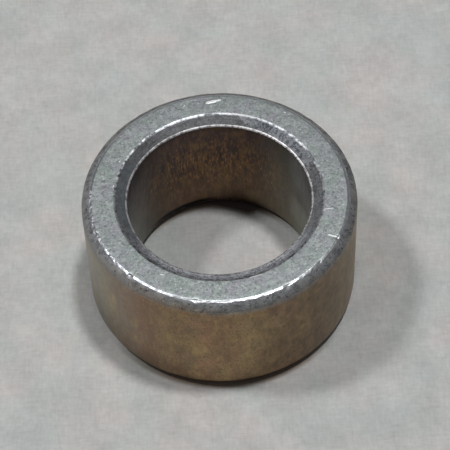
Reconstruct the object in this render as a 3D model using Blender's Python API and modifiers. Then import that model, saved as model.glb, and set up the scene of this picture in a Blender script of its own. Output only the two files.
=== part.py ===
"""Plain bronze sleeve bushing for a half-inch shaft, modelled as one turned ring.

The ring stands on its lower end face. The origin is the centre of the bore in the
plane of that face, and +Z runs along the bore. Units are metres.
"""

import math

import bpy

# Driving dimensions: 1/2 in bore, 3/4 in outside diameter, 3/8 in long.
INCH = 0.0254
BORE_DIAMETER = 0.5 * INCH
OUTSIDE_DIAMETER = 0.75 * INCH
LENGTH = 0.375 * INCH

# Chamfers, the same at both ends: how wide each is across the end face, and how deep along Z.
OUTER_CHAMFER_WIDTH = 0.00072
OUTER_CHAMFER_DEPTH = 0.00050
LEAD_IN_WIDTH = 0.00092
LEAD_IN_DEPTH = 0.00044

# Every turned corner is broken by a small flat of this width.
EDGE_BREAK = 0.00006
SHARPEST_SMOOTH_ANGLE = math.radians(15)

SEGMENTS = 128
MERGE_DISTANCE = 0.00001

BRONZE_COLOR = (0.26, 0.19, 0.12, 1.0)
BRONZE_ROUGHNESS = 0.45
BRONZE_METALLIC = 1.0


def clear_scene():
    for obj in list(bpy.data.objects):
        bpy.data.objects.remove(obj)


def make_collection(name):
    collection = bpy.data.collections.new(name)
    bpy.context.scene.collection.children.link(collection)
    return collection


def make_material(name, color, roughness, metallic):
    material = bpy.data.materials.new(name)
    material.use_nodes = True
    shader = material.node_tree.nodes["Principled BSDF"]
    shader.inputs["Base Color"].default_value = color
    shader.inputs["Roughness"].default_value = roughness
    shader.inputs["Metallic"].default_value = metallic
    return material


def sleeve_profile():
    """The ring's cross-section as (radius, height): down the outer side, then up the bore."""
    outer = OUTSIDE_DIAMETER / 2
    bore = BORE_DIAMETER / 2
    face_outer = outer - OUTER_CHAMFER_WIDTH
    face_inner = bore + LEAD_IN_WIDTH
    return [
        (face_outer, LENGTH),
        (outer, LENGTH - OUTER_CHAMFER_DEPTH),
        (outer, OUTER_CHAMFER_DEPTH),
        (face_outer, 0.0),
        (face_inner, 0.0),
        (bore, LEAD_IN_DEPTH),
        (bore, LENGTH - LEAD_IN_DEPTH),
        (face_inner, LENGTH),
    ]


def make_turned_ring(name, profile, collection):
    """A closed profile in the XZ plane, turned about Z."""
    points = [(radius, 0.0, height) for radius, height in profile]
    edges = [(i, (i + 1) % len(points)) for i in range(len(points))]
    mesh = bpy.data.meshes.new(name)
    mesh.from_pydata(points, edges, [])
    ring = bpy.data.objects.new(name, mesh)
    collection.objects.link(ring)
    screw = ring.modifiers.new("turn", "SCREW")
    screw.axis = "Z"
    screw.angle = 2 * math.pi
    screw.steps = SEGMENTS
    screw.render_steps = SEGMENTS
    screw.use_merge_vertices = True
    screw.merge_threshold = MERGE_DISTANCE
    return ring


def break_edges(obj, width):
    """Takes a small flat off every turned corner; the facets round the ring stay whole."""
    bevel = obj.modifiers.new("edge_break", "BEVEL")
    bevel.width = width
    bevel.segments = 1
    bevel.limit_method = "ANGLE"
    bevel.angle_limit = SHARPEST_SMOOTH_ANGLE


def shade_round(obj):
    """Bakes the modifiers into the mesh, then shades it smooth up to the turned corners."""
    graph = bpy.context.evaluated_depsgraph_get()
    turned = bpy.data.meshes.new_from_object(obj.evaluated_get(graph))
    turned.name = obj.name
    obj.modifiers.clear()
    obj.data = turned
    turned.shade_smooth()
    turned.set_sharp_from_angle(angle=SHARPEST_SMOOTH_ANGLE)


def build_sleeve(collection):
    sleeve = make_turned_ring("sleeve", sleeve_profile(), collection)
    break_edges(sleeve, EDGE_BREAK)
    shade_round(sleeve)
    bronze = make_material("bronze", BRONZE_COLOR, BRONZE_ROUGHNESS, BRONZE_METALLIC)
    sleeve.data.materials.clear()
    sleeve.data.materials.append(bronze)
    return sleeve


def main():
    clear_scene()
    collection = make_collection("bronze_sleeve_bushing")
    build_sleeve(collection)


main()
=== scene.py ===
"""Looks of the bronze sleeve bushing: one worn turned ring on a plain pale floor.

The ring's mesh is a rounded profile turned about Z, with its edges worn, nicked and dented
in the mesh itself. Its material is procedural and finds the end face, the chamfers, the
outer wall and the bore from where a point lies on the ring.

Lengths are in millimetres, except where a name ends in _M. Angles round the ring are clock
angles in degrees: 0 is the side nearest the camera, 90 the right side, 180 the far side.
"""

import math

import bpy
import numpy as np
from mathutils import Matrix, Vector, noise


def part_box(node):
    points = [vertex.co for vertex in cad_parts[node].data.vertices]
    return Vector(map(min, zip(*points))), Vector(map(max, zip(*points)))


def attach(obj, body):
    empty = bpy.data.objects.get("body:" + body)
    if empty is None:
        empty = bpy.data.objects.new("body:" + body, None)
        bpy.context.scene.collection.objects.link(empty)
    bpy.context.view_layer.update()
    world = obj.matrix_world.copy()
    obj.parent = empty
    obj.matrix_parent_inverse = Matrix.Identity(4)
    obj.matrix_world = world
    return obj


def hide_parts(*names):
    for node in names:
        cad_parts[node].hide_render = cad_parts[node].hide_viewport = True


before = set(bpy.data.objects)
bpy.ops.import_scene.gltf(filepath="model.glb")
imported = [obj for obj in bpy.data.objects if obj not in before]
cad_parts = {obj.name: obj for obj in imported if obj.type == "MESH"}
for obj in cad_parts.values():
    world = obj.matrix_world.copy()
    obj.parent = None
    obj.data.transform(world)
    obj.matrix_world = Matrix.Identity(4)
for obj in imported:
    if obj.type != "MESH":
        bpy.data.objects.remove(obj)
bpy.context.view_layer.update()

MM = 0.001

# Driving sizes, taken from the CAD sleeve.
CAD_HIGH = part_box("sleeve")[1]
OUTER_RADIUS = CAD_HIGH.x / MM
LENGTH = CAD_HIGH.z / MM
BORE_RADIUS = min(math.hypot(v.co.x, v.co.y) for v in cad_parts["sleeve"].data.vertices) / MM

# Chamfers, the same at both ends: width across the end face, and depth along the bore.
OUTER_CHAMFER_WIDTH = 0.72
OUTER_CHAMFER_DEPTH = 0.50
LEAD_IN_WIDTH = 0.92
LEAD_IN_DEPTH = 0.44

# Worn rims on both edges of the end face: narrow, slightly tilted bands.
RIM_WIDTH = 0.155
RIM_DROP = 0.050
LEAD_RIM_WIDTH = 0.065
LEAD_RIM_DROP = 0.020

FACE_OUTER = OUTER_RADIUS - OUTER_CHAMFER_WIDTH
FACE_INNER = BORE_RADIUS + LEAD_IN_WIDTH

# Rounding of each turned corner, and the spacing of mesh points along the profile.
RIM_INNER_ROUNDING = 0.14
RIM_OUTER_ROUNDING = 0.16
WALL_EDGE_ROUNDING = 0.25
LEAD_RIM_ROUNDING = 0.09
LEAD_IN_ROUNDING = 0.30
BORE_ROUNDING = 0.17
ARC_STEPS = 5
FACE_SPACING = 0.12
CHAMFER_SPACING = 0.07
WALL_SPACING = 0.52
TURN_STEPS = 576

# Wear of the mesh: its depth at each turned corner, and how far it reaches from the corner.
RIM_WEAR_DEPTH = 0.030
WALL_EDGE_WEAR_DEPTH = 0.024
LEAD_EDGE_WEAR_DEPTH = 0.012
BORE_EDGE_WEAR_DEPTH = 0.010
OUTER_WEAR_REACH = 0.16
INNER_WEAR_REACH = 0.12

# Small teeth in the outer rim, between two clock angles.
TOOTH_SIZE = 0.21
TOOTH_DEPTH = 0.07
TOOTHED_START = -96
TOOTHED_END = -52
TOOTHED_FADE = 8

# Feature sizes of the noises that break up the worn edges.
COARSE_WEAR = 0.9
MIDDLING_WEAR = 0.36
FINE_WEAR = 0.17

# Dents big enough to change the outline: clock angle, radius, depth below the face, reach, depth.
DENTS = [
    (112.8, 8.90, 0.10, 0.14, 0.06),
    (103.5, 8.88, 0.08, 0.12, 0.05),
    (-12.2, 8.88, 0.02, 0.13, 0.07),
    (-44.0, 8.92, 0.05, 0.14, 0.09),
    (-15.6, 9.42, 0.40, 0.16, 0.06),
    (-11.5, 9.38, 0.36, 0.12, 0.05),
    (62.5, 8.90, 0.03, 0.15, 0.07),
    (109.0, 7.20, 0.03, 0.14, 0.02),
    (105.8, 7.26, 0.00, 0.12, 0.02),
    (-102.3, 8.17, 0.00, 0.14, 0.03),
    (-99.3, 8.02, 0.00, 0.16, 0.03),
    (28.0, 8.95, 0.08, 0.18, 0.05),
    (-71.0, 8.94, 0.06, 0.15, 0.06),
    (47.0, 8.93, 0.06, 0.13, 0.05),
]


# ---------------------------------------------------------------- the ring's mesh


def arc(corner, before, after, rounding, steps):
    """The points of the arc that rounds a corner between two straight runs of the profile."""
    corner, before, after = Vector(corner), Vector(before), Vector(after)
    back = (before - corner).normalized()
    ahead = (after - corner).normalized()
    half_angle = back.angle(ahead) / 2
    centre = corner + (back + ahead).normalized() * (rounding / math.sin(half_angle))
    start = corner + back * (rounding / math.tan(half_angle)) - centre
    end = corner + ahead * (rounding / math.tan(half_angle)) - centre
    return [centre + rounding * start.slerp(end, i / steps) for i in range(steps + 1)]


def run(start, end, spacing):
    """Points between two ends of a straight run, without the ends."""
    steps = max(1, math.ceil((end - start).length / spacing))
    return [start.lerp(end, i / steps) for i in range(1, steps)]


def half_profile():
    """(radius, height) from half-way down the outer wall, over the top end, to half-way down the bore."""
    wall_start = (OUTER_RADIUS, LENGTH / 2)
    bore_end = (BORE_RADIUS, LENGTH / 2)
    corners = [
        ((OUTER_RADIUS, LENGTH - OUTER_CHAMFER_DEPTH), WALL_EDGE_ROUNDING, WALL_SPACING),
        ((FACE_OUTER + RIM_WIDTH, LENGTH - RIM_DROP), RIM_OUTER_ROUNDING, CHAMFER_SPACING),
        ((FACE_OUTER, LENGTH), RIM_INNER_ROUNDING, CHAMFER_SPACING),
        ((FACE_INNER, LENGTH), LEAD_RIM_ROUNDING, FACE_SPACING),
        ((FACE_INNER - LEAD_RIM_WIDTH, LENGTH - LEAD_RIM_DROP), LEAD_IN_ROUNDING, CHAMFER_SPACING),
        ((BORE_RADIUS, LENGTH - LEAD_IN_DEPTH), BORE_ROUNDING, CHAMFER_SPACING),
    ]
    stops = [wall_start] + [corner for corner, rounding, spacing in corners] + [bore_end]
    points = [Vector(wall_start)]
    for i, (corner, rounding, spacing) in enumerate(corners):
        rounded = arc(corner, stops[i], stops[i + 2], rounding, ARC_STEPS)
        points += run(points[-1], rounded[0], spacing) + rounded
    points += run(points[-1], Vector(bore_end), WALL_SPACING) + [Vector(bore_end)]
    return points


def full_profile():
    """The closed profile: the top half, then its mirror image for the lower end."""
    top = half_profile()
    lower = [Vector((p.x, LENGTH - p.y)) for p in reversed(top[1:-1])]
    return np.array(top + lower)


def outward_normals(profile):
    """The direction out of the metal at each profile point."""
    along = np.roll(profile, -1, axis=0) - np.roll(profile, 1, axis=0)
    normals = np.stack([along[:, 1], -along[:, 0]], axis=1)
    return normals / np.linalg.norm(normals, axis=1, keepdims=True)


def noise_at(points, size, seed):
    """Smooth noise from -1 to 1 whose features are about that many millimetres across."""
    shift = Vector((13.7 * seed, 7.1 * seed, 3.9 * seed))
    return np.array([noise.noise(Vector(p) / size + shift) for p in points])


def near(radius, depth, corner_radius, corner_depth, reach):
    """1 at a corner of the profile, falling smoothly to 0 beyond reach from it."""
    distance = np.hypot(radius - corner_radius, depth - corner_depth)
    return np.exp(-((distance / reach) ** 2))


def clock_band(clock, start, end, fade):
    """1 between two clock angles, fading to 0 over a few degrees outside them."""
    middle, half = (start + end) / 2, (end - start) / 2
    away = np.abs((clock - middle + 180) % 360 - 180) - half
    return np.clip(1 - away / fade, 0, 1)


def worn_depth(points, clock, radius, depth, top):
    """How far each point of the new ring is worn inwards."""
    rim = near(radius, depth, FACE_OUTER + RIM_WIDTH, RIM_DROP, OUTER_WEAR_REACH)
    wall_edge = near(radius, depth, OUTER_RADIUS, OUTER_CHAMFER_DEPTH, OUTER_WEAR_REACH)
    lead_edge = near(radius, depth, FACE_INNER, LEAD_RIM_DROP, INNER_WEAR_REACH)
    bore_edge = near(radius, depth, BORE_RADIUS, LEAD_IN_DEPTH, INNER_WEAR_REACH)
    coarse = noise_at(points, COARSE_WEAR, seed=1)
    middling = noise_at(points, MIDDLING_WEAR, seed=2)
    fine = noise_at(points, FINE_WEAR, seed=3)

    ragged = 0.45 + 0.4 * coarse + 0.7 * middling + 0.5 * fine
    worn = RIM_WEAR_DEPTH * rim * np.clip(ragged, 0, None)
    worn += WALL_EDGE_WEAR_DEPTH * wall_edge * np.clip(0.3 + coarse + 0.5 * middling, 0, None)
    worn += LEAD_EDGE_WEAR_DEPTH * lead_edge * np.clip(0.3 + 0.8 * middling + 0.6 * fine, 0, None)
    worn += BORE_EDGE_WEAR_DEPTH * bore_edge * np.clip(0.2 + middling + fine, 0, None)

    tooth = np.clip(noise_at(points, TOOTH_SIZE, seed=4) + 0.3 * middling, 0, None)
    toothed = clock_band(clock, TOOTHED_START, TOOTHED_END, TOOTHED_FADE) * top
    return worn + TOOTH_DEPTH * rim * toothed * tooth


def dent(points, clock, radius, depth, reach, deep):
    """The inward depth of one round dent, whose centre is at a clock angle, radius and depth."""
    turn = math.radians(clock)
    centre = np.array([radius * math.sin(turn), -radius * math.cos(turn), LENGTH - depth])
    distance = np.linalg.norm(points - centre, axis=1)
    return deep * np.exp(-((distance / reach) ** 2))


def swept(values, out):
    """(radius, height) pairs turned through every step of the ring, as one list of 3-D vectors."""
    flat = out[:, None, :] * values[None, :, 0, None]
    tall = np.broadcast_to(values[None, :, 1, None], flat.shape[:2] + (1,))
    return np.concatenate([flat, tall], axis=2).reshape(-1, 3)


def ring_points():
    """Every vertex of the worn ring, one profile after another round the clock."""
    profile = full_profile()
    clock = np.arange(TURN_STEPS) * 360 / TURN_STEPS
    turn = np.radians(clock)
    out = np.stack([np.sin(turn), -np.cos(turn)], axis=1)
    points = swept(profile, out)
    directions = swept(outward_normals(profile), out)

    radius = np.tile(profile[:, 0], TURN_STEPS)
    height = np.tile(profile[:, 1], TURN_STEPS)
    depth = np.minimum(height, LENGTH - height)
    top = (height > LENGTH / 2).astype(float)
    worn = worn_depth(points, np.repeat(clock, len(profile)), radius, depth, top)
    for values in DENTS:
        worn += dent(points, *values)
    return (points - directions * worn[:, None]) * MM


def ring_quads(count):
    """The faces between neighbouring profiles of that many points each."""
    ring = np.arange(TURN_STEPS)[:, None] * count
    next_ring = (np.arange(1, TURN_STEPS + 1)[:, None] % TURN_STEPS) * count
    here = np.arange(count)[None, :]
    beside = (here + 1) % count
    corners = [ring + here, next_ring + here, next_ring + beside, ring + beside]
    return np.stack(corners, axis=2).reshape(-1, 4)


def build_ring():
    """The turned and worn ring as a mesh object."""
    points = ring_points()
    quads = ring_quads(len(points) // TURN_STEPS)
    mesh = bpy.data.meshes.new("worn_sleeve")
    mesh.from_pydata(points.tolist(), [], quads.tolist())
    mesh.shade_smooth()
    mesh.update()
    sleeve = bpy.data.objects.new("worn_sleeve", mesh)
    bpy.context.scene.collection.objects.link(sleeve)
    return sleeve


# ---------------------------------------------------------------- material helpers


def rgb(red, green, blue):
    return (red, green, blue, 1.0)


def clock_direction(clock):
    """The direction across the ring at a clock angle."""
    turn = math.radians(clock)
    return (math.sin(turn), -math.cos(turn), 0)


class Nodes:
    """Short names for building one material's node tree."""

    def __init__(self, owner):
        owner.use_nodes = True
        self.tree = owner.node_tree

    def feed(self, socket, value):
        if isinstance(value, bpy.types.NodeSocket):
            self.tree.links.new(value, socket)
        else:
            socket.default_value = value

    def math(self, operation, a, b=0.0):
        node = self.tree.nodes.new("ShaderNodeMath")
        node.operation = operation
        self.feed(node.inputs[0], a)
        self.feed(node.inputs[1], b)
        return node.outputs[0]

    def add(self, a, b):
        return self.math("ADD", a, b)

    def minus(self, a, b):
        return self.math("SUBTRACT", a, b)

    def times(self, a, b):
        return self.math("MULTIPLY", a, b)

    def inverse(self, mask):
        """1 where a mask is 0, and 0 where it is 1."""
        return self.minus(1.0, mask)

    def both_ways(self, value, amount):
        """Noise from 0 to 1 turned into a shift of up to half that amount either way."""
        return self.times(self.minus(value, 0.5), amount)

    def vector_math(self, operation, a, b=(0, 0, 0)):
        node = self.tree.nodes.new("ShaderNodeVectorMath")
        node.operation = operation
        self.feed(node.inputs[0], a)
        self.feed(node.inputs[1], b)
        return node.outputs["Value"] if operation in ("LENGTH", "DOT_PRODUCT") else node.outputs["Vector"]

    def combine(self, x, y, z):
        node = self.tree.nodes.new("ShaderNodeCombineXYZ")
        self.feed(node.inputs[0], x)
        self.feed(node.inputs[1], y)
        self.feed(node.inputs[2], z)
        return node.outputs[0]

    def scaled(self, vector, factor):
        """A colour or a vector times one number."""
        return self.vector_math("MULTIPLY", vector, self.combine(factor, factor, factor))

    def smooth(self, value, low, high, at_low=0.0, at_high=1.0):
        """Goes smoothly from at_low to at_high as value goes from low to high."""
        node = self.tree.nodes.new("ShaderNodeMapRange")
        node.interpolation_type = "SMOOTHSTEP"
        self.feed(node.inputs["Value"], value)
        self.feed(node.inputs["From Min"], low)
        self.feed(node.inputs["From Max"], high)
        self.feed(node.inputs["To Min"], at_low)
        self.feed(node.inputs["To Max"], at_high)
        return node.outputs["Result"]

    def noise(self, point, size, detail=2.0, roughness=0.5):
        """Noise from 0 to 1 with features about that many millimetres across."""
        node = self.tree.nodes.new("ShaderNodeTexNoise")
        self.feed(node.inputs["Vector"], point)
        node.inputs["Scale"].default_value = 1 / size
        node.inputs["Detail"].default_value = detail
        node.inputs["Roughness"].default_value = roughness
        return node.outputs["Fac"]

    def mix(self, factor, a, b):
        """A colour between a and b."""
        node = self.tree.nodes.new("ShaderNodeMix")
        node.data_type = "RGBA"
        self.feed(node.inputs[0], factor)
        self.feed(node.inputs[6], a)
        self.feed(node.inputs[7], b)
        return node.outputs[2]

    def between(self, factor, a, b):
        """A number between a and b."""
        node = self.tree.nodes.new("ShaderNodeMix")
        self.feed(node.inputs[0], factor)
        self.feed(node.inputs[2], a)
        self.feed(node.inputs[3], b)
        return node.outputs[0]


def position_in_mm(nodes):
    """The shaded point in the object's own frame, in millimetres."""
    coordinates = nodes.tree.nodes.new("ShaderNodeTexCoord")
    return nodes.vector_math("MULTIPLY", coordinates.outputs["Object"], (1 / MM, 1 / MM, 1 / MM))


class RingPoint:
    """Where the shaded point lies on the ring, and the noises that all regions share."""

    def __init__(self, nodes):
        self.nodes = nodes
        self.point = position_in_mm(nodes)
        split = nodes.tree.nodes.new("ShaderNodeSeparateXYZ")
        nodes.feed(split.inputs[0], self.point)
        x, y, self.height = split.outputs
        across = nodes.combine(x, y, 0.0)
        self.radius = nodes.vector_math("LENGTH", across)
        self.around = nodes.vector_math("NORMALIZE", across)
        self.depth = nodes.math("MINIMUM", self.height, nodes.minus(LENGTH, self.height))
        self.top = nodes.math("GREATER_THAN", self.height, LENGTH / 2)

        self.coarse = nodes.noise(self.point, size=1.6, detail=2.0)
        self.middling = nodes.noise(self.point, size=0.55, detail=3.0)
        self.fine = nodes.noise(self.point, size=0.22, detail=2.0)
        self.grain = nodes.noise(self.point, size=0.11, detail=1.0)
        self.blended = nodes.add(nodes.times(self.middling, 0.6), nodes.times(self.fine, 0.4))
        self.shared_noises = {
            "coarse": self.coarse,
            "middling": self.middling,
            "fine": self.fine,
            "grain": self.grain,
            "blended": self.blended,
        }

    def facing(self, clock):
        """The cosine of the angle between the point's side of the ring and a clock angle."""
        return self.nodes.vector_math("DOT_PRODUCT", self.around, clock_direction(clock))

    def side(self, clock, start, full, strength=1.0, ragged=None):
        """Rises from 0 to strength towards a clock angle, from one cosine of the angle to another."""
        facing = self.facing(clock)
        if ragged is not None:
            facing = self.nodes.add(facing, ragged)
        return self.nodes.smooth(facing, start, full, 0.0, strength)

    def stretched(self, upright):
        """The point for a noise that is longer along the bore, where upright is below 1."""
        return self.nodes.vector_math("MULTIPLY", self.point, (1, 1, upright))

    def unrolled(self, radius, along, stretch):
        """The point for a noise laid round the ring at that radius, whatever the point's own radius."""
        ring = self.nodes.vector_math("MULTIPLY", self.around, (radius, radius, 0))
        rise = self.nodes.combine(0.0, 0.0, self.nodes.times(along, stretch))
        return self.nodes.vector_math("ADD", ring, rise)


def base_color(nodes, noises, base):
    """A colour between the two of a base, by one of the noises."""
    name, start, full, first, second = base
    return nodes.mix(nodes.smooth(noises[name], start, full), first, second)


def add_tints(nodes, noises, color, tints):
    """Lays each tint over a colour where its noise says."""
    for name, start, full, strength, tint in tints:
        color = nodes.mix(nodes.smooth(noises[name], start, full, 0.0, strength), color, tint)
    return color


def add_painted_side_tints(place, color, tints):
    """Lays each painted light or shade tint over a colour on its own side of the ring."""
    for clock, start, full, strength, tint in tints:
        color = place.nodes.mix(place.side(clock, start, full, strength), color, tint)
    return color


# ---------------------------------------------------------------- the ring's regions


# How far the noise moves each region's border.
FACE_BORDER_SHIFT = 0.25
WALL_BORDER_SHIFT = 0.9
WALL_BORDER_COARSE_SHIFT = 0.45
LEAD_IN_BORDER_SHIFT = 0.06
BORE_BORDER_SHIFT = 0.10

# The chamfer's lower border sits higher at the front left, and the lead-in is narrower at the front.
FRONT_LEFT_CLOCK = -30
FRONT_LEFT_RISE = 0.18
FRONT_CLOCK = 5
FRONT_NARROWING = 0.05


class Regions:
    """Masks from 0 to 1 for the region the point is in, with borders broken up by noise."""

    def __init__(self, nodes, place):
        self.shift = nodes.minus(place.blended, 0.5)
        self.face_radius = nodes.add(place.radius, nodes.times(self.shift, FACE_BORDER_SHIFT))
        self.on_chamfer = nodes.smooth(self.face_radius, FACE_OUTER + 0.10, FACE_OUTER + 0.20)

        rough_depth = nodes.add(place.depth, nodes.times(self.shift, WALL_BORDER_SHIFT))
        self.rough_depth = nodes.add(rough_depth, nodes.both_ways(place.coarse, WALL_BORDER_COARSE_SHIFT))
        rise = nodes.times(place.side(FRONT_LEFT_CLOCK, 0.80, 1.0), FRONT_LEFT_RISE)
        on_wall = nodes.smooth(nodes.add(self.rough_depth, rise), 0.18, 1.05)
        on_wall = nodes.math("MAXIMUM", on_wall, nodes.inverse(place.top))
        self.on_wall = nodes.times(on_wall, self.on_chamfer)

        self.front = place.side(FRONT_CLOCK, 0.30, 0.80)
        lead_radius = nodes.add(place.radius, nodes.times(self.shift, LEAD_IN_BORDER_SHIFT))
        self.lead_radius = nodes.add(lead_radius, nodes.times(self.front, FRONT_NARROWING))
        self.on_lead_in = nodes.smooth(self.lead_radius, FACE_INNER - 0.02, FACE_INNER + 0.02, 1.0, 0.0)

        bore_depth = nodes.add(place.depth, nodes.times(self.shift, BORE_BORDER_SHIFT))
        self.in_bore = nodes.smooth(bore_depth, 0.46, 0.52)


# Every base below is a noise, the values between which it goes from the first colour to the
# second, and those colours. Every tint is laid over what comes before it: the noise that places
# it, where it starts, where it is full, its strength there, and its colour. Side tints paint light
# or shade on one side of the ring: they have a clock angle in place of the noise, and start and
# are full at cosines of the angle from it.

# End face: dull silver-grey, faintly green and purple, with dark pits and bright specks.
FACE_BASE = ("coarse", 0.35, 0.65, rgb(0.38, 0.44, 0.42), rgb(0.43, 0.43, 0.47))
FACE_TINTS = [
    ("middling", 0.40, 0.70, 1.0, rgb(0.50, 0.55, 0.54)),
    ("fine", 0.52, 0.26, 1.0, rgb(0.29, 0.32, 0.32)),
    ("grain", 0.42, 0.20, 1.0, rgb(0.24, 0.26, 0.26)),
    ("grain", 0.60, 0.78, 1.0, rgb(0.68, 0.72, 0.72)),
]

# Outer chamfer: darker grey with black pits, with painted shade on the far side and painted light in front.
CHAMFER_BASE = ("middling", 0.3, 0.7, rgb(0.18, 0.185, 0.19), rgb(0.38, 0.39, 0.405))
CHAMFER_TINTS = [
    ("fine", 0.45, 0.27, 0.85, rgb(0.06, 0.06, 0.06)),
    ("grain", 0.56, 0.72, 0.50, rgb(0.60, 0.61, 0.63)),
]
# Painted shade on the far side and painted light in front.
CHAMFER_SHADE_AND_LIGHT_TINTS = [
    (198, 0.78, 0.97, 0.32, rgb(0.10, 0.10, 0.105)),
    (10, 0.75, 1.0, 0.16, rgb(0.46, 0.47, 0.46)),
]


def face_color(nodes, place):
    color = base_color(nodes, place.shared_noises, FACE_BASE)
    return add_tints(nodes, place.shared_noises, color, FACE_TINTS)


def chamfer_color(nodes, place):
    color = base_color(nodes, place.shared_noises, CHAMFER_BASE)
    color = add_tints(nodes, place.shared_noises, color, CHAMFER_TINTS)
    return add_painted_side_tints(place, color, CHAMFER_SHADE_AND_LIGHT_TINTS)


# Lead-in: bluer than the face, with rings left by turning and strong dark and pale flecks.
LEAD_IN_BASE = ("middling", 0.3, 0.7, rgb(0.34, 0.365, 0.395), rgb(0.51, 0.52, 0.545))
LEAD_IN_TINTS = [
    ("turning", 0.50, 0.34, 0.70, rgb(0.17, 0.18, 0.20)),
    ("turning", 0.52, 0.68, 0.60, rgb(0.70, 0.71, 0.73)),
    ("fine", 0.46, 0.32, 0.80, rgb(0.12, 0.125, 0.14)),
    ("blended", 0.48, 0.37, 0.50, rgb(0.17, 0.175, 0.19)),
    ("blended", 0.53, 0.62, 0.55, rgb(0.66, 0.67, 0.70)),
    ("grain", 0.47, 0.32, 0.60, rgb(0.13, 0.135, 0.15)),
    ("grain", 0.54, 0.68, 0.60, rgb(0.80, 0.81, 0.84)),
]
# Painted reflections and shade: paler and bluer on the left, darker on the far side, paler on the right.
LEAD_IN_REFLECTION_AND_SHADE_TINTS = [
    (264, 0.76, 1.0, 0.48, rgb(0.57, 0.67, 0.76)),
    (188, 0.92, 1.0, 0.22, rgb(0.21, 0.26, 0.31)),
    (65, 0.86, 1.0, 0.35, rgb(0.60, 0.65, 0.68)),
]

# Painted shade: a dull, darker part of the lead-in at the far right, where the left lamp's bright
# reflection falls. Also a dull band along the lead-in's outer border.
SHADED_DULL_PART_CLOCK = 137
SHADED_DULL_PART_BASE = ("fine", 0.36, 0.64, rgb(0.045, 0.05, 0.055), rgb(0.135, 0.14, 0.15))
SHADED_DULL_PART_TINTS = [
    ("grain", 0.46, 0.32, 0.30, rgb(0.03, 0.03, 0.035)),
    ("grain", 0.56, 0.70, 0.25, rgb(0.24, 0.24, 0.27)),
]
DULL_BAND_BASE = ("blended", 0.40, 0.58, rgb(0.12, 0.125, 0.14), rgb(0.40, 0.41, 0.43))

# Rings left by turning: how far apart their noise is stretched round the ring and across it.
TURNING_ROUND = 5
TURNING_ACROSS = 7.0

# Painted light and shade: at the front the lead-in is lighter next to the bore and darker next to the face,
# by these shares.
LIP_PAINTED_LIGHT = 0.36
LIP_PAINTED_SHADE = -0.30


def lead_in_color(nodes, place, regions):
    """The lead-in's colour, and a mask of where it is dull."""
    turning = nodes.noise(place.unrolled(TURNING_ROUND, place.radius, TURNING_ACROSS), size=1.0, detail=2.0)
    noises = dict(place.shared_noises, turning=turning)
    color = base_color(nodes, noises, LEAD_IN_BASE)
    color = add_tints(nodes, noises, color, LEAD_IN_TINTS)
    color = add_painted_side_tints(place, color, LEAD_IN_REFLECTION_AND_SHADE_TINTS)

    # Painted shade: darker, duller colour where the left lamp's reflection falls on the lead-in.
    shaded_dull_part = place.side(SHADED_DULL_PART_CLOCK, 0.84, 0.96, ragged=nodes.times(regions.shift, 0.2))
    dull_shade_tone = base_color(nodes, noises, SHADED_DULL_PART_BASE)
    dull_shade_tone = add_tints(nodes, noises, dull_shade_tone, SHADED_DULL_PART_TINTS)
    color = nodes.mix(shaded_dull_part, color, dull_shade_tone)
    dull_band = nodes.smooth(place.radius, FACE_INNER - 0.20, FACE_INNER - 0.10)
    color = nodes.mix(dull_band, color, base_color(nodes, noises, DULL_BAND_BASE))

    # Painted light and shade at the front of the lead-in.
    lip_light_and_shade = nodes.smooth(place.radius, BORE_RADIUS + 0.28, BORE_RADIUS + 0.74, LIP_PAINTED_LIGHT, LIP_PAINTED_SHADE)
    color = nodes.scaled(color, nodes.add(1.0, nodes.times(lip_light_and_shade, regions.front)))
    return color, nodes.math("MAXIMUM", shaded_dull_part, dull_band)


# Outer wall: gold-brown with fine streaks along the bore, mottled olive and reddish.
WALL_BASE = ("streaks", 0.25, 0.75, rgb(0.27, 0.18, 0.085), rgb(0.43, 0.30, 0.145))
WALL_TINTS = [
    ("wide_streaks", 0.45, 0.70, 0.80, rgb(0.37, 0.205, 0.12)),
    ("coarse", 0.55, 0.30, 0.50, rgb(0.28, 0.225, 0.12)),
    ("fine", 0.47, 0.27, 0.80, rgb(0.19, 0.12, 0.065)),
    ("grain", 0.46, 0.26, 0.60, rgb(0.15, 0.095, 0.050)),
    ("grain", 0.58, 0.76, 0.35, rgb(0.52, 0.38, 0.21)),
    ("patches", 0.54, 0.30, 0.62, rgb(0.24, 0.135, 0.080)),
    ("patches", 0.50, 0.70, 0.85, rgb(0.47, 0.345, 0.145)),
]
STREAK_STRETCH = 0.45
PATCH_STRETCH = 0.5
MOTTLE_STRETCH = 0.6

# Tints on the wall, each on its own side of the ring: a clock angle and a colour. The red one is a
# stain; the rust one is a rust tint with painted shade; the rest are painted shade on the right
# and at the front left, and a painted sheen on the left.
RIGHT_SIDE_SHADE = (60, rgb(0.158, 0.114, 0.058))
RUST_AND_SHADE = (33, rgb(0.16, 0.085, 0.055))
RED_STAIN = (-38, rgb(0.36, 0.19, 0.12))
FRONT_LEFT_SHADE = (-32, rgb(0.12, 0.085, 0.060))
LEFT_SIDE_SHEEN = (-85, rgb(0.265, 0.275, 0.25))
SIDE_TINT_RAGGEDNESS = 0.35
RUST_RAGGEDNESS = 1.2

# The wall is shaded light and dark by its mottles, most strongly at this clock angle.
MOTTLED_CLOCK = 45
LEAST_MOTTLED = 0.14
MOST_MOTTLED = 0.32

# Painted shade: the wall darkens towards its foot, next to the floor.
WALL_FOOT_SHADE_COLOR = rgb(0.12, 0.080, 0.050)


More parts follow.
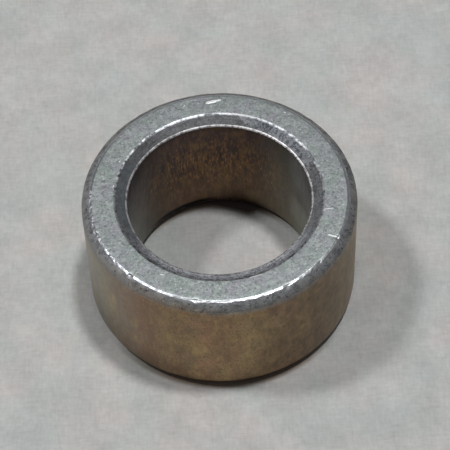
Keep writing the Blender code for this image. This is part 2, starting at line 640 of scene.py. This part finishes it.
def wall_stains_and_painted_light(nodes, place, mottles, color):
    """Lays painted shade on the right, rust with painted shade, a red stain, painted shade at the front
    left and a painted grey sheen on the left over the wall's colour.
    """
    ragged = nodes.both_ways(place.coarse, SIDE_TINT_RAGGEDNESS)
    # Painted shade on the right side, stronger higher up.
    clock, tint = RIGHT_SIDE_SHADE
    painted_shade = place.side(clock, 0.55, 0.98, 0.70, ragged)
    painted_shade = nodes.times(painted_shade, nodes.smooth(place.height, 1.0, 5.0, 0.66, 1.0))
    color = nodes.mix(painted_shade, color, tint)

    # Rust tint in mottles, with painted shade, at the front right.
    clock, tint = RUST_AND_SHADE
    rust_and_shade = nodes.add(place.side(clock, 0.86, 1.0), nodes.both_ways(mottles, RUST_RAGGEDNESS))
    rust_and_shade = nodes.times(nodes.smooth(rust_and_shade, 0.25, 0.95, 0.0, 0.36), nodes.smooth(place.depth, 6.0, 2.0))
    color = nodes.mix(rust_and_shade, color, tint)

    clock, tint = RED_STAIN
    red = nodes.times(place.side(clock, 0.93, 1.0), nodes.smooth(mottles, 0.62, 0.38, 0.0, 0.5))
    color = nodes.mix(red, color, tint)

    # Painted shade at the front left.
    clock, tint = FRONT_LEFT_SHADE
    color = nodes.mix(place.side(clock, 0.90, 1.0, 0.20), color, tint)
    # Painted grey sheen on the left side.
    clock, tint = LEFT_SIDE_SHEEN
    return nodes.mix(place.side(clock, 0.60, 1.0, 0.60, ragged), color, tint)


def wall_color(nodes, place):
    """The outer wall's colour: streaks, patches, stains and mottles, with painted shade and sheen on its
    sides and painted shade at its foot.
    """
    streak_point = place.unrolled(OUTER_RADIUS, place.height, STREAK_STRETCH)
    noises = dict(
        place.shared_noises,
        streaks=nodes.noise(streak_point, size=0.25, detail=4.0, roughness=0.65),
        wide_streaks=nodes.noise(streak_point, size=2.2, detail=3.0),
        patches=nodes.noise(place.stretched(PATCH_STRETCH), size=1.8, detail=5.0, roughness=0.68),
    )
    mottles = nodes.noise(place.stretched(MOTTLE_STRETCH), size=0.65, detail=5.0, roughness=0.75)
    color = base_color(nodes, noises, WALL_BASE)
    color = add_tints(nodes, noises, color, WALL_TINTS)
    color = wall_stains_and_painted_light(nodes, place, mottles, color)

    strength = nodes.smooth(place.facing(MOTTLED_CLOCK), 0.75, 0.97, LEAST_MOTTLED, MOST_MOTTLED)
    shade = nodes.times(nodes.smooth(mottles, 0.32, 0.68, -1.0, 1.0), strength)
    color = nodes.scaled(color, nodes.add(shade, 1.0))
    # Painted shade towards the foot of the wall.
    return nodes.mix(nodes.smooth(place.height, 3.6, 0.8, 0.0, 0.08), color, WALL_FOOT_SHADE_COLOR)


# Bore: dark brown with rusty gold mottles in upright streaks.
BORE_BASE = ("mottles", 0.38, 0.68, rgb(0.060, 0.037, 0.031), rgb(0.195, 0.105, 0.040))
BORE_TINTS = [
    ("rust", 0.47, 0.30, 0.60, rgb(0.055, 0.034, 0.030)),
    ("rust", 0.52, 0.68, 0.45, rgb(0.26, 0.150, 0.050)),
    ("flecks", 0.54, 0.67, 0.62, rgb(0.40, 0.20, 0.075)),
    ("flecks", 0.47, 0.34, 0.66, rgb(0.036, 0.022, 0.020)),
    ("depth", 4.0, 1.0, 0.62, rgb(0.073, 0.043, 0.047)),
    ("coarse", 0.50, 0.66, 0.40, rgb(0.24, 0.145, 0.050)),
    ("height", 5.6, 1.8, 0.35, rgb(0.27, 0.165, 0.085)),
]
BORE_STRETCH = 0.30

# Painted sheen: grey light on the right and left sides of the bore, with painted shade at the far left.
RIGHT_SHEEN_CLOCK = 100
RIGHT_SHEEN_COLOR = rgb(0.20, 0.20, 0.155)
PALE_SHEEN_BASE = ("height", 5.0, 2.0, rgb(0.64, 0.65, 0.66), rgb(0.59, 0.60, 0.50))
LEFT_SHEEN_CLOCK = 265
LEFT_SHEEN_BASE = ("depth", 5.0, 2.0, rgb(0.20, 0.20, 0.19), rgb(0.31, 0.32, 0.33))
LEFT_SHEEN_TINTS = [("mottles", 0.50, 0.34, 0.5, rgb(0.09, 0.085, 0.08))]
BORE_LEFT_SHADE_TINTS = [(238, 0.88, 1.0, 0.26, rgb(0.030, 0.028, 0.022))]

# The foot of the bore carries painted shade, darker on both sides, and a painted black shadow at
# the far left; it is also paler at the far right.
LOW_SIDES_SHADE_COLOR = rgb(0.07, 0.064, 0.038)
PALE_FOOT = (142, rgb(0.33, 0.27, 0.18))
FOOT_SHADOW = (207, rgb(0.012, 0.009, 0.008))

# The bore's colour is shaded light and dark, by factors between these.
BORE_DARKEST = 0.84
BORE_LIGHTEST = 1.16


def bore_sheens_and_shade(nodes, place, noises, color):
    """Lays the painted sheen on the right and left sides, and painted shade at the far left, over the
    bore's colour.
    """
    color = nodes.mix(place.side(RIGHT_SHEEN_CLOCK, 0.50, 1.05, 0.80), color, RIGHT_SHEEN_COLOR)
    left_sheen = base_color(nodes, noises, LEFT_SHEEN_BASE)
    left_sheen = add_tints(nodes, noises, left_sheen, LEFT_SHEEN_TINTS)
    color = nodes.mix(place.side(LEFT_SHEEN_CLOCK, 0.78, 1.04, 0.85), color, left_sheen)
    color = add_painted_side_tints(place, color, BORE_LEFT_SHADE_TINTS)
    # Painted sheen: a paler grey light high on the right side.
    pale_sheen = nodes.times(place.side(RIGHT_SHEEN_CLOCK, 0.86, 1.0), nodes.smooth(place.depth, 5.6, 2.0))
    return nodes.mix(nodes.times(pale_sheen, 0.85), color, base_color(nodes, noises, PALE_SHEEN_BASE))


def bore_foot(nodes, place, color):
    """Lays the foot's tints, most of them painted shade, over the bore's colour; also the mask of its
    painted black shadow.
    """
    rightward = place.facing(90)
    low_sides = nodes.add(nodes.smooth(rightward, 0.72, 0.95), nodes.smooth(rightward, -0.50, -0.85))
    low_sides = nodes.times(low_sides, nodes.smooth(place.height, 5.0, 1.5))
    # Painted shade low on both sides of the bore.
    color = nodes.mix(nodes.times(low_sides, 0.46), color, LOW_SIDES_SHADE_COLOR)

    clock, tint = PALE_FOOT
    pale_foot = nodes.times(place.side(clock, 0.92, 0.99, 0.55), nodes.smooth(place.height, 2.6, 0.9))
    color = nodes.mix(pale_foot, color, tint)
    # Painted black shadow at the far left of the foot.
    clock, tint = FOOT_SHADOW
    foot_shadow = nodes.times(place.side(clock, 0.87, 0.97), nodes.smooth(place.height, 1.02, 0.76))
    return nodes.mix(foot_shadow, color, tint), foot_shadow


def bore_color(nodes, place):
    """The bore's colour, and a mask of the painted black shadow at its foot."""
    streak_point = place.unrolled(BORE_RADIUS, place.height, BORE_STRETCH)
    noises = dict(
        place.shared_noises,
        mottles=nodes.noise(streak_point, size=0.42, detail=5.0, roughness=0.76),
        rust=nodes.noise(streak_point, size=1.3, detail=3.0, roughness=0.6),
        flecks=nodes.noise(streak_point, size=0.13, detail=2.0),
        depth=place.depth,
        height=place.height,
    )
    color = base_color(nodes, noises, BORE_BASE)
    color = add_tints(nodes, noises, color, BORE_TINTS)
    color = bore_sheens_and_shade(nodes, place, noises, color)
    color, foot_shadow = bore_foot(nodes, place, color)
    clouds = nodes.noise(streak_point, size=0.55, detail=5.0, roughness=0.78)
    shade = nodes.smooth(clouds, 0.34, 0.66, BORE_DARKEST, BORE_LIGHTEST)
    return nodes.scaled(color, shade), foot_shadow


# ---------------------------------------------------------------- edges, scratches, painted glints and painted shade


# Bright marks on the top face: clock angle and radius of both ends, and half the width.
FACE_SCRATCHES = [
    (-176.2, 8.28, 177.3, 8.49, 0.09),
    (-176.8, 8.31, 179.8, 8.40, 0.14),
    (62.1, 8.25, 62.7, 8.92, 0.08),
    (76.6, 7.30, 78.0, 7.90, 0.05),
    (14.2, 7.29, 20.8, 7.33, 0.035),
    (-164.8, 8.33, -165.3, 8.36, 0.055),
    (145.3, 8.57, 144.4, 8.58, 0.05),
    (-115.4, 7.59, -116.2, 7.56, 0.05),
    (51.6, 8.07, 52.4, 8.16, 0.04),
    (6.3, 7.59, 7.2, 7.57, 0.03),
    (-33.0, 7.68, -31.0, 7.60, 0.05),
    (-98.4, 7.37, -99.4, 7.35, 0.045),
]
SCRATCH_COLOR = rgb(0.95, 0.96, 0.97)

# Painted shade: the front left of the ring is dimmer than the rest on its rim, and its worn corner is
# greyer there.
DIMMED_SIDE_CLOCK = -70
CORNER_COLOR = rgb(0.45, 0.41, 0.33)
DIMMED_CORNER_COLOR = rgb(0.36, 0.36, 0.355)
CORNER_WEAR_DEPTH = 0.46
CORNER_WEAR_STRENGTH = 0.45
RIM_COLOR = rgb(0.60, 0.62, 0.64)
DIMMED_RIM_COLOR = rgb(0.38, 0.39, 0.42)

# Painted glints: bright flecks on the outer rim at the left, and on the lead-in's border at the far left.
RIM_GLINTS_CLOCK = -80
RIM_GLINT_COLOR = rgb(0.84, 0.84, 0.87)
LEAD_GLINTS_CLOCK = 238
LEAD_EDGE_COLOR = rgb(0.50, 0.51, 0.53)
LEAD_GLINT_COLOR = rgb(0.86, 0.86, 0.88)

# The bore's mouth: a bright worn line broken by darker spots, whose near-white colour is partly a painted
# highlight.
MOUTH_WEAR_AND_HIGHLIGHT_BASE = ("fine", 0.34, 0.58, rgb(0.34, 0.33, 0.34), rgb(1.0, 0.98, 0.99))

# Painted shade on the lower end's outer chamfer, next to the floor.
UNDERSIDE_SHADE_COLOR = rgb(0.040, 0.032, 0.024)


def scratch_mask(nodes, place):
    """1 inside the bright marks of the top face."""
    flat = nodes.vector_math("MULTIPLY", place.point, (1, 1, 0))
    total = 0.0
    for clock_a, radius_a, clock_b, radius_b, half_width in FACE_SCRATCHES:
        start = Vector(clock_direction(clock_a)) * radius_a
        along = Vector(clock_direction(clock_b)) * radius_b - start
        from_start = nodes.vector_math("SUBTRACT", flat, start)
        share = nodes.vector_math("DOT_PRODUCT", from_start, along / along.length_squared)
        share = nodes.math("MINIMUM", nodes.math("MAXIMUM", share, 0.0), 1.0)
        nearest = nodes.vector_math("MULTIPLY", nodes.combine(share, share, share), along)
        away = nodes.vector_math("LENGTH", nodes.vector_math("SUBTRACT", from_start, nearest))
        mask = nodes.smooth(away, half_width * 0.5, half_width * 1.3, 1.0, 0.0)
        total = nodes.math("MAXIMUM", total, mask)
    return nodes.times(total, place.top)


class BareMetal:
    """Masks of the bright worn edges, the glints painted on them, and the scratches."""

    def __init__(self, nodes, place, regions):
        near_face = nodes.smooth(place.depth, 0.35, 0.5, 1.0, 0.0)
        rim_start = nodes.smooth(place.radius, FACE_OUTER - 0.03, FACE_OUTER + 0.01)
        ragged_radius = nodes.add(place.radius, nodes.times(regions.shift, 0.5))
        rim_end = nodes.smooth(ragged_radius, FACE_OUTER + 0.15, FACE_OUTER + 0.24)
        self.rim = nodes.times(nodes.times(rim_start, nodes.inverse(rim_end)), near_face)
        # Painted glints on the outer rim at the left.
        self.rim_glints = nodes.times(
            place.side(RIM_GLINTS_CLOCK, 0.92, 0.99), nodes.smooth(place.blended, 0.51, 0.58)
        )

        off_middle = nodes.minus(regions.lead_radius, FACE_INNER - LEAD_RIM_WIDTH / 2)
        lead_band = nodes.smooth(nodes.math("ABSOLUTE", off_middle), 0.04, 0.09, 1.0, 0.0)
        lead_edge = nodes.times(lead_band, nodes.smooth(place.blended, 0.40, 0.56))
        self.lead_edge = nodes.times(lead_edge, near_face)
        # Painted glints on the lead-in's border at the far left.
        self.lead_glints = nodes.times(
            place.side(LEAD_GLINTS_CLOCK, 0.90, 0.99), nodes.smooth(place.blended, 0.46, 0.56)
        )

        mouth = nodes.smooth(place.radius, BORE_RADIUS + 0.11, BORE_RADIUS + 0.18, 1.0, 0.0)
        self.mouth = nodes.times(mouth, nodes.inverse(regions.in_bore))
        self.scratches = scratch_mask(nodes, place)


def add_worn_corner(nodes, place, regions, dimmed_side, color):
    """A worn band at the front left, where the outer chamfer meets the wall."""
    off_corner = nodes.math("ABSOLUTE", nodes.minus(regions.rough_depth, CORNER_WEAR_DEPTH))
    wear = nodes.smooth(off_corner, 0.05, 0.30, CORNER_WEAR_STRENGTH, 0.0)
    wear = nodes.times(wear, place.side(DIMMED_SIDE_CLOCK, 0.60, 0.92))
    tone = nodes.mix(dimmed_side, CORNER_COLOR, DIMMED_CORNER_COLOR)
    return nodes.mix(nodes.times(wear, regions.on_chamfer), color, tone)


def add_bare_metal(nodes, place, bare, dimmed_side, color):
    """Lays the bright edges, their painted glints and the scratches over the ring's colour."""
    # Painted shade dims the rim at the front left.
    rim_tone = nodes.mix(dimmed_side, RIM_COLOR, DIMMED_RIM_COLOR)
    rim_tone = nodes.mix(bare.rim_glints, rim_tone, RIM_GLINT_COLOR)
    color = nodes.mix(bare.rim, color, rim_tone)
    color = nodes.mix(bare.lead_edge, color, nodes.mix(bare.lead_glints, LEAD_EDGE_COLOR, LEAD_GLINT_COLOR))
    # Painted highlight, with wear, along the bore's mouth.
    color = nodes.mix(bare.mouth, color, base_color(nodes, place.shared_noises, MOUTH_WEAR_AND_HIGHLIGHT_BASE))
    return nodes.mix(bare.scratches, color, SCRATCH_COLOR)


def underside_shade_mask(nodes, place, regions):
    """1 on the lower end's outer chamfer, just above the floor, where shade is painted."""
    low = nodes.times(nodes.smooth(place.depth, 0.75, 0.40), nodes.inverse(place.top))
    return nodes.times(low, nodes.smooth(regions.face_radius, FACE_OUTER - 0.05, FACE_OUTER + 0.30))


# ---------------------------------------------------------------- the ring's material


FACE_ROUGHNESS = 0.50
CHAMFER_ROUGHNESS = 0.57
WALL_ROUGHNESS = 0.46
LEAD_IN_ROUGHNESS = 0.085
DULL_LEAD_IN_ROUGHNESS = 0.45
BORE_ROUGHNESS = 0.40
RIM_ROUGHNESS = 0.35
RIM_GLINT_ROUGHNESS = 0.60
LEAD_EDGE_ROUGHNESS = 0.42
MOUTH_ROUGHNESS = 0.48
SCRATCH_ROUGHNESS = 0.55
ROUGHNESS_SPREAD = 0.10
POLISHED_ROUGHNESS_SPREAD = 0.02

# The walls carry a thin oily coat; the polished lead-in carries a full, duller one.
OIL_WEIGHT = 0.3
OIL_ROUGHNESS = 0.30
OIL_IOR = 1.50
POLISH_COAT_ROUGHNESS = 0.48
POLISH_COAT_IOR = 1.60

# Heights of the bumps made by each noise, and the share of them left in the smoother regions.
GRAIN_BUMP = 0.003
FINE_BUMP = 0.007
MIDDLING_BUMP = 0.006
SCRATCH_BUMP = 0.03
LEAD_IN_BUMP_SHARE = 0.12
BORE_BUMP_SHARE = 0.35


def surface_roughness(nodes, place, regions, bare, dull, polished):
    lead_in = nodes.between(dull, LEAD_IN_ROUGHNESS, DULL_LEAD_IN_ROUGHNESS)
    rough = nodes.between(regions.on_chamfer, FACE_ROUGHNESS, CHAMFER_ROUGHNESS)
    rough = nodes.between(regions.on_wall, rough, WALL_ROUGHNESS)
    inside = nodes.between(regions.in_bore, lead_in, BORE_ROUGHNESS)
    rough = nodes.between(regions.on_lead_in, rough, inside)
    rim = nodes.between(bare.rim_glints, RIM_ROUGHNESS, RIM_GLINT_ROUGHNESS)
    rough = nodes.between(bare.rim, rough, rim)
    rough = nodes.between(bare.lead_edge, rough, LEAD_EDGE_ROUGHNESS)
    rough = nodes.between(bare.mouth, rough, MOUTH_ROUGHNESS)
    rough = nodes.between(bare.scratches, rough, SCRATCH_ROUGHNESS)
    spread = nodes.between(polished, ROUGHNESS_SPREAD, POLISHED_ROUGHNESS_SPREAD)
    return nodes.add(rough, nodes.both_ways(place.fine, spread))


def bump_normal(nodes, place, regions, scratches):
    height = nodes.add(nodes.times(place.grain, GRAIN_BUMP), nodes.times(place.fine, FINE_BUMP))
    height = nodes.add(height, nodes.times(place.middling, MIDDLING_BUMP))
    height = nodes.add(height, nodes.times(scratches, SCRATCH_BUMP))
    inside = nodes.between(regions.in_bore, LEAD_IN_BUMP_SHARE, BORE_BUMP_SHARE)
    share = nodes.between(regions.on_lead_in, 1.0, inside)
    bump = nodes.tree.nodes.new("ShaderNodeBump")
    bump.inputs["Distance"].default_value = MM
    nodes.feed(bump.inputs["Height"], nodes.times(height, share))
    return bump.outputs["Normal"]


def feed_coat(nodes, regions, polished, underside_shade, foot_shadow):
    """The coat: a thin film of oil on the walls, left off where shade is painted on the lower chamfer and
    at the bore's foot, and the lead-in's polish.
    """
    shader = nodes.tree.nodes["Principled BSDF"]
    oily = nodes.math("MAXIMUM", regions.on_wall, nodes.times(regions.on_lead_in, regions.in_bore))
    oily = nodes.times(oily, nodes.inverse(underside_shade))
    oily = nodes.times(oily, nodes.inverse(nodes.times(regions.in_bore, foot_shadow)))
    nodes.feed(shader.inputs["Coat Weight"], nodes.add(nodes.times(oily, OIL_WEIGHT), polished))
    coat_roughness = nodes.between(polished, OIL_ROUGHNESS, POLISH_COAT_ROUGHNESS)
    nodes.feed(shader.inputs["Coat Roughness"], coat_roughness)
    nodes.feed(shader.inputs["Coat IOR"], nodes.between(polished, OIL_IOR, POLISH_COAT_IOR))


def bronze_material():
    """The ring's one material, put together from its regions, worn edges, and painted light and shade."""
    material = bpy.data.materials.new("worn_bronze")
    nodes = Nodes(material)
    place = RingPoint(nodes)
    regions = Regions(nodes, place)
    bare = BareMetal(nodes, place, regions)
    lead_in, dull = lead_in_color(nodes, place, regions)
    bore, foot_shadow = bore_color(nodes, place)
    dimmed_side = place.side(DIMMED_SIDE_CLOCK, 0.45, 0.90)
    underside_shade = underside_shade_mask(nodes, place, regions)

    color = nodes.mix(regions.on_chamfer, face_color(nodes, place), chamfer_color(nodes, place))
    color = nodes.mix(regions.on_wall, color, wall_color(nodes, place))
    color = add_worn_corner(nodes, place, regions, dimmed_side, color)
    color = nodes.mix(regions.on_lead_in, color, nodes.mix(regions.in_bore, lead_in, bore))
    color = add_bare_metal(nodes, place, bare, dimmed_side, color)
    # Painted shade on the lower end's outer chamfer, just above the floor.
    color = nodes.mix(underside_shade, color, UNDERSIDE_SHADE_COLOR)

    polished = nodes.times(regions.on_lead_in, nodes.inverse(regions.in_bore))
    polished = nodes.times(polished, nodes.inverse(dull))
    rough = surface_roughness(nodes, place, regions, bare, dull, polished)
    shader = nodes.tree.nodes["Principled BSDF"]
    nodes.feed(shader.inputs["Base Color"], color)
    nodes.feed(shader.inputs["Roughness"], rough)
    shader.inputs["Metallic"].default_value = 1.0
    feed_coat(nodes, regions, polished, underside_shade, foot_shadow)
    nodes.feed(shader.inputs["Normal"], bump_normal(nodes, place, regions, bare.scratches))
    return material


# ---------------------------------------------------------------- floor, lights and camera


FLOOR_RADIUS_M = 0.8
FLOOR_SIDES = 96
FLOOR_ROUGHNESS = 0.9
FLOOR_SPECULAR = 0.2

# The floor lies this far below the ring, so the two flat faces never share a plane.
FLOOR_GAP_M = 0.00001

PINK_CARD = rgb(0.612, 0.592, 0.578)
GREEN_CARD = rgb(0.555, 0.58, 0.565)

# The card's shade is the sum of its clouds, fibres and threads. Its threads are long and narrow:
# their noise is stretched until they are this much of their length across.
CLOUD_DARKEST = 0.51
CLOUD_LIGHTEST = 0.69
FIBRE_SHADE = 0.27
THREAD_SHADE = 0.26
THREAD_STRETCH = 0.22

# Painted contact shadow: the card is darkened in a band under the ring's front and far sides.
CONTACT_RADIUS = (OUTER_RADIUS + BORE_RADIUS) / 2
CONTACT_REACH = (OUTER_RADIUS - BORE_RADIUS) / 2
CONTACT_FADE = 0.40

# The shares of its red, green and blue that the card keeps in painted shadow, and in the deepest painted
# shadow.
SHADOWED_CARD_SHARES = (0.42, 0.34, 0.28)
DEEP_SHADOW_CARD_SHARES = (0.25, 0.19, 0.20)


def card_color(nodes, point):
    """Pale card, faintly pink and green, with clouds, fibres and a weave of faint threads."""
    tint = nodes.noise(point, size=5.0, detail=2.0)
    card = nodes.mix(nodes.smooth(tint, 0.35, 0.65), PINK_CARD, GREEN_CARD)
    clouds = nodes.noise(point, size=3.0, detail=5.0, roughness=0.65)
    fibres = nodes.noise(point, size=0.5, detail=4.0, roughness=0.7)
    lengthways = nodes.vector_math("MULTIPLY", point, (THREAD_STRETCH, 1, 1))
    crossways = nodes.vector_math("MULTIPLY", point, (1, THREAD_STRETCH, 1))
    threads = nodes.add(
        nodes.noise(lengthways, size=0.20, detail=3.0, roughness=0.6),
        nodes.noise(crossways, size=0.20, detail=3.0, roughness=0.6),
    )
    shade = nodes.smooth(clouds, 0.25, 0.75, CLOUD_DARKEST, CLOUD_LIGHTEST)
    shade = nodes.add(shade, nodes.times(fibres, FIBRE_SHADE))
    shade = nodes.add(shade, nodes.times(threads, THREAD_SHADE))
    return nodes.scaled(card, shade)


def shadowed_card(nodes, point, card):
    """The card with a painted contact shadow under the ring, and a painted dark shadow crescent inside the
    far side of the bore.
    """
    radius = nodes.vector_math("LENGTH", point)
    away = nodes.vector_math("DOT_PRODUCT", nodes.vector_math("NORMALIZE", point), (0, 1, 0))
    from_ring = nodes.math("ABSOLUTE", nodes.minus(radius, CONTACT_RADIUS))
    under_ring = nodes.smooth(from_ring, CONTACT_REACH, CONTACT_REACH + CONTACT_FADE, 1.0, 0.0)
    under_ring = nodes.times(under_ring, nodes.smooth(nodes.math("ABSOLUTE", away), 0.45, 0.95))

    # How far the crescent reaches inwards from the bore's wall: it widens to the right, then ends.
    rightward = nodes.vector_math("DOT_PRODUCT", point, (1, 0, 0))
    widening = nodes.smooth(rightward, -3.0, 2.5, -0.36, 0.54)
    ending = nodes.smooth(rightward, 1.9, 3.5, 0.0, -0.95)
    reached = nodes.add(radius, nodes.add(widening, ending))
    near_bore = nodes.smooth(radius, BORE_RADIUS + 0.9, BORE_RADIUS + 0.7)
    far_side = nodes.times(near_bore, nodes.smooth(away, 0.35, 0.75))
    deep_shadow = nodes.times(nodes.smooth(reached, BORE_RADIUS - 0.20, BORE_RADIUS + 0.14), far_side)
    soft_shadow = nodes.times(nodes.smooth(reached, BORE_RADIUS - 0.42, BORE_RADIUS + 0.08), far_side)

    # Painted shadow tones: darker card under the ring, darkest in the crescent.
    shadowed_tone = nodes.vector_math("MULTIPLY", card, SHADOWED_CARD_SHARES)
    deep_shadow_tone = nodes.vector_math("MULTIPLY", card, DEEP_SHADOW_CARD_SHARES)
    shadow_tone = nodes.mix(deep_shadow, shadowed_tone, deep_shadow_tone)
    painted_shade = nodes.math("MAXIMUM", nodes.math("MAXIMUM", under_ring, soft_shadow), deep_shadow)
    return nodes.mix(painted_shade, card, shadow_tone)


def floor_material():
    material = bpy.data.materials.new("floor_card")
    nodes = Nodes(material)
    point = position_in_mm(nodes)
    color = shadowed_card(nodes, point, card_color(nodes, point))
    shader = nodes.tree.nodes["Principled BSDF"]
    nodes.feed(shader.inputs["Base Color"], color)
    shader.inputs["Roughness"].default_value = FLOOR_ROUGHNESS
    shader.inputs["Specular IOR Level"].default_value = FLOOR_SPECULAR
    return material


def build_floor():
    """A flat card under the ring, wide enough to fill the photograph's view."""
    bpy.ops.mesh.primitive_circle_add(
        vertices=FLOOR_SIDES,
        radius=FLOOR_RADIUS_M,
        fill_type="NGON",
        location=(0, 0, -FLOOR_GAP_M),
    )
    floor = bpy.context.object
    floor.name = "floor"
    floor.data.materials.append(floor_material())


LAMP_DISTANCE_M = 0.6


def add_sun(name, clock, elevation, width, strength):
    """A soft lamp far away: where it stands round the ring and above it, and how wide it looks."""
    light = bpy.data.lights.new(name, "SUN")
    light.angle = math.radians(width)
    light.energy = strength
    lamp = bpy.data.objects.new(name, light)
    bpy.context.scene.collection.objects.link(lamp)
    rise = math.radians(elevation)
    toward = Vector(clock_direction(clock)) * math.cos(rise) + Vector((0, 0, math.sin(rise)))
    lamp.rotation_euler = toward.to_track_quat("Z", "Y").to_euler()
    lamp.location = toward * LAMP_DISTANCE_M


def build_lights():
    """A high lamp at the right and a lower, weaker one at the left."""
    add_sun("lamp_right", clock=114, elevation=80.3, width=6, strength=1.21)
    add_sun("lamp_left", clock=257, elevation=61, width=7.5, strength=0.86)


# The room's brightness at each height, from 0 at the horizon to 1 overhead.
ROOM_STOPS = [
    (0.12, rgb(0.38, 0.38, 0.39)),
    (0.34, rgb(0.12, 0.12, 0.12)),
    (0.85, rgb(0.11, 0.11, 0.11)),
    (0.97, rgb(0.19, 0.19, 0.19)),
]
ROOM_LEFT_EXTRA = 0.75


def build_world():
    """A dim room: pale round the horizon, dark above it, lighter overhead and low at the left."""
    world = bpy.data.worlds.new("room")
    bpy.context.scene.world = world
    nodes = Nodes(world)
    coordinates = nodes.tree.nodes.new("ShaderNodeTexCoord")
    split = nodes.tree.nodes.new("ShaderNodeSeparateXYZ")
    nodes.feed(split.inputs[0], coordinates.outputs["Generated"])

    ramp = nodes.tree.nodes.new("ShaderNodeValToRGB")
    stops = ramp.color_ramp.elements
    # A new ramp already has two stops.
    for i, (position, color) in enumerate(ROOM_STOPS):
        stop = stops[i] if i < 2 else stops.new(position)
        stop.position = position
        stop.color = color
    nodes.feed(ramp.inputs["Fac"], split.outputs["Z"])

    low = nodes.smooth(split.outputs["Z"], 0.85, 0.55)
    left = nodes.smooth(split.outputs["X"], -0.05, -0.80, 0.0, ROOM_LEFT_EXTRA)
    background = nodes.tree.nodes["Background"]
    nodes.feed(background.inputs["Color"], ramp.outputs["Color"])
    nodes.feed(background.inputs["Strength"], nodes.add(1.0, nodes.times(left, low)))


CAMERA_DISTANCE_M = 0.1371
CAMERA_ELEVATION = math.radians(53.98)
CAMERA_ROLL = math.radians(-2.606)
CAMERA_AIM_M = Vector((0.000314, 0.000862, LENGTH / 2 * MM))
CAMERA_LENS = 155.04
CAMERA_SENSOR_WIDTH = 36
CAMERA_CLIP_START_M = 0.01


def build_camera():
    """The photograph's view: in front of the ring, above it, close, and rolled slightly."""
    camera_data = bpy.data.cameras.new("photo_view")
    camera_data.lens = CAMERA_LENS
    camera_data.sensor_width = CAMERA_SENSOR_WIDTH
    camera_data.clip_start = CAMERA_CLIP_START_M
    camera = bpy.data.objects.new("photo_view", camera_data)
    bpy.context.scene.collection.objects.link(camera)

    ring_centre = Vector((0, 0, LENGTH / 2 * MM))
    back = Vector((0, -math.cos(CAMERA_ELEVATION), math.sin(CAMERA_ELEVATION)))
    place = ring_centre + back * CAMERA_DISTANCE_M
    ahead = (CAMERA_AIM_M - place).normalized()
    level = ahead.cross(Vector((0, 0, 1))).normalized()
    upright = level.cross(ahead)
    right = math.cos(CAMERA_ROLL) * level + math.sin(CAMERA_ROLL) * upright
    up = -math.sin(CAMERA_ROLL) * level + math.cos(CAMERA_ROLL) * upright
    turned = Matrix((right, up, -ahead)).transposed().to_4x4()
    camera.matrix_world = Matrix.Translation(place) @ turned
    bpy.context.scene.camera = camera


sleeve = build_ring()
sleeve.data.materials.append(bronze_material())
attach(sleeve, "root")
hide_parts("sleeve")
build_floor()
build_lights()
build_world()
build_camera()
bpy.context.scene.view_settings.view_transform = "Standard"
